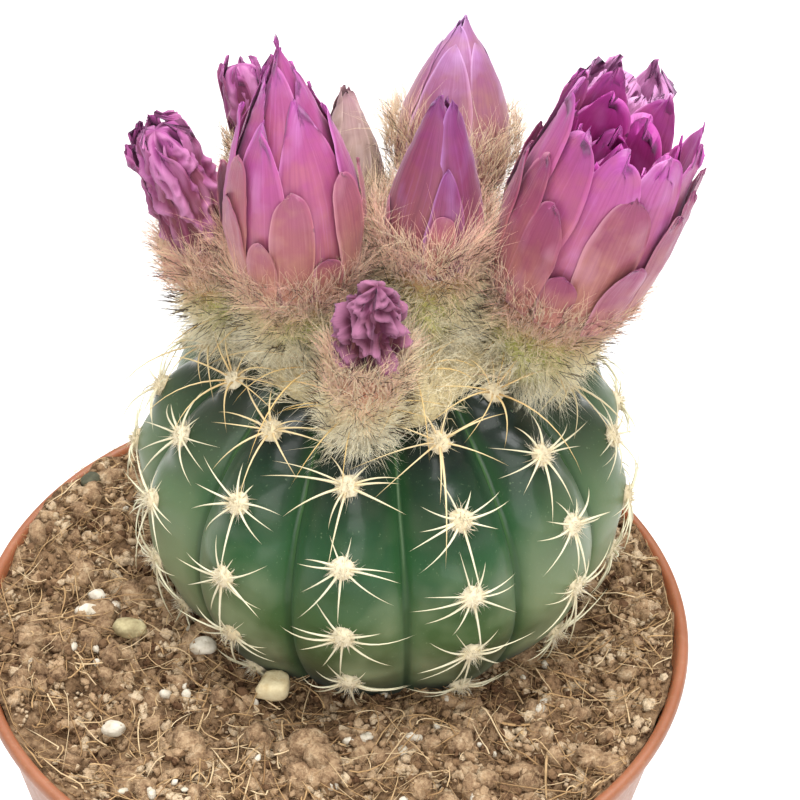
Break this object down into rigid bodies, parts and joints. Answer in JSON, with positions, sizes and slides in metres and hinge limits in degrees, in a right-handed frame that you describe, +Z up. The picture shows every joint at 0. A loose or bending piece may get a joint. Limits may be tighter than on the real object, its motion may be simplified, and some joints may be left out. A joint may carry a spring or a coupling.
{
  "type": "potted round cactus",
  "caption": "Round ribbed cactus in a thin plastic nursery pot, with woolly purple flowers, buds and withered blooms on its crown; stands on the pot's flat foot.",
  "frame": {"origin": "centre of the pot's foot, on the surface it stands on", "axes": "+Z up along the pot's axis; -Y is the plant's front, the side the picture was taken from; +X to its right"},
  "size_m": [0.105, 0.105, 0.1721],
  "materials": {
    "terracotta_plastic": "thin moulded plastic with a soft sheen",
    "peat_soil": "dry crumbly peat with fibres",
    "cactus_skin": "waxy green skin with a pale bloom",
    "areole_wool_and_spines": "short cream wool with thin cream spines",
    "crown_wool_fibre": "long cream and tan wool with dark bristles",
    "flower_tube_wool": "tan wool with dark bristles over a green tube",
    "outer_tepal_pink": "satin pink petals",
    "inner_tepal_magenta": "satin magenta petals",
    "withered_tepal": "dry crumpled purple petals",
    "white_mineral": "matte white mineral grain",
    "beige_stone": "matte beige stone"
  },
  "bodies": {
    "root": {"areole_row_01": "areole_wool_and_spines", "areole_row_02": "areole_wool_and_spines", "areole_row_03": "areole_wool_and_spines", "areole_row_04": "areole_wool_and_spines", "areole_row_05": "areole_wool_and_spines", "areole_row_06": "areole_wool_and_spines", "areole_row_07": "areole_wool_and_spines", "areole_row_08": "areole_wool_and_spines", "areole_row_09": "areole_wool_and_spines", "areole_row_10": "areole_wool_and_spines", "areole_row_11": "areole_wool_and_spines", "areole_row_12": "areole_wool_and_spines", "areole_row_13": "areole_wool_and_spines", "back_bud_inner_tepals": "inner_tepal_magenta", "back_bud_outer_tepals": "outer_tepal_pink", "back_bud_tube": "flower_tube_wool", "back_left_withered_flower_tepals": "withered_tepal", "back_left_withered_flower_tube": "flower_tube_wool", "back_right_withered_flower_tepals": "withered_tepal", "back_right_withered_flower_tube": "flower_tube_wool", "beige_stone": "beige_stone", "cactus_body": "cactus_skin", "cream_chip": "beige_stone", "crown_wool": "crown_wool_fibre", "front_bud_inner_tepals": "inner_tepal_magenta", "front_bud_outer_tepals": "outer_tepal_pink", "front_bud_tube": "flower_tube_wool", "front_left_flower_inner_tepals": "inner_tepal_magenta", "front_left_flower_outer_tepals": "outer_tepal_pink", "front_left_flower_tube": "flower_tube_wool", "front_withered_flower_tepals": "withered_tepal", "front_withered_flower_tube": "flower_tube_wool", "left_withered_flower_tepals": "withered_tepal", "left_withered_flower_tube": "flower_tube_wool", "pot": "terracotta_plastic", "right_flower_inner_tepals": "inner_tepal_magenta", "right_flower_outer_tepals": "outer_tepal_pink", "right_flower_tube": "flower_tube_wool", "small_back_bud_tepals": "withered_tepal", "small_back_bud_tube": "flower_tube_wool", "soil": "peat_soil", "white_grain_1": "white_mineral", "white_grain_2": "white_mineral", "white_grain_3": "white_mineral", "white_grain_4": "white_mineral"}
  },
  "joints": []
}
